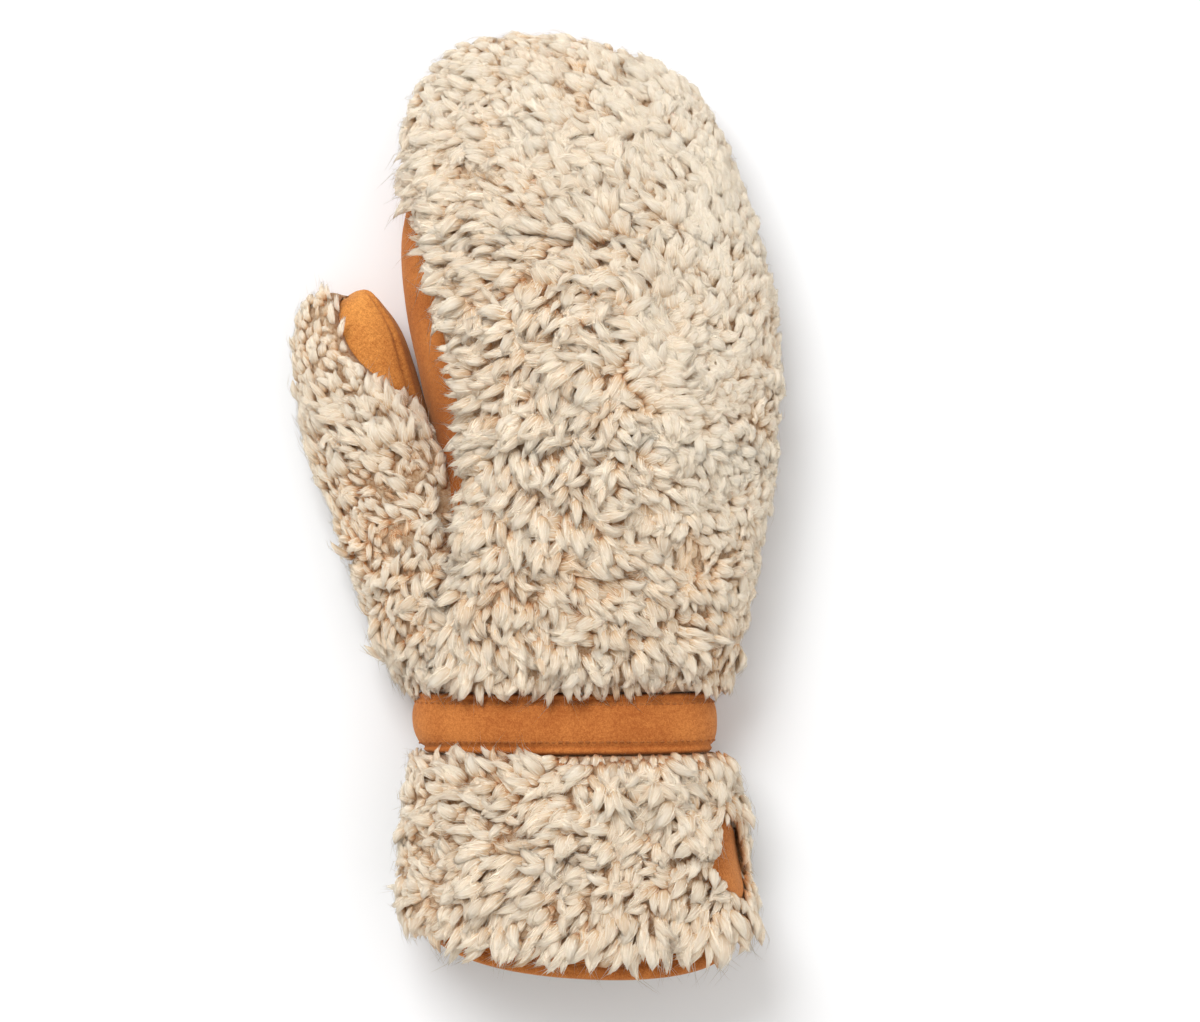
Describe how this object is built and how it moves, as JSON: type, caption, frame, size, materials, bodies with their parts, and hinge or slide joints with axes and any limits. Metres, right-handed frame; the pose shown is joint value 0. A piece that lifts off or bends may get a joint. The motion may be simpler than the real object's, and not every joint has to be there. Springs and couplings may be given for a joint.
{
  "type": "sherpa mitten",
  "caption": "Adult winter mitten for the right hand: curly fleece back and cuff, suede palm, thumb side, wrist band and hem, hollow and open at the cuff.",
  "frame": {"origin": "on the floor below the middle of the mitten's box", "axes": "+Y from the cuff to the fingertips, +Z from the palm to the back of the hand, thumb at -X"},
  "size_m": [0.152, 0.2946, 0.0604],
  "materials": {
    "fleece": "curly sherpa pile, cream with warm tan roots",
    "suede": "matt tan-orange suede with a soft nap"
  },
  "bodies": {
    "root": {"hand_back_fleece": "fleece", "thumb_back_fleece": "fleece", "palm_suede": "suede", "thumb_suede": "suede", "wrist_band": "suede", "cuff_fleece": "fleece", "cuff_hem": "suede", "cuff_badge": "suede"}
  },
  "joints": []
}
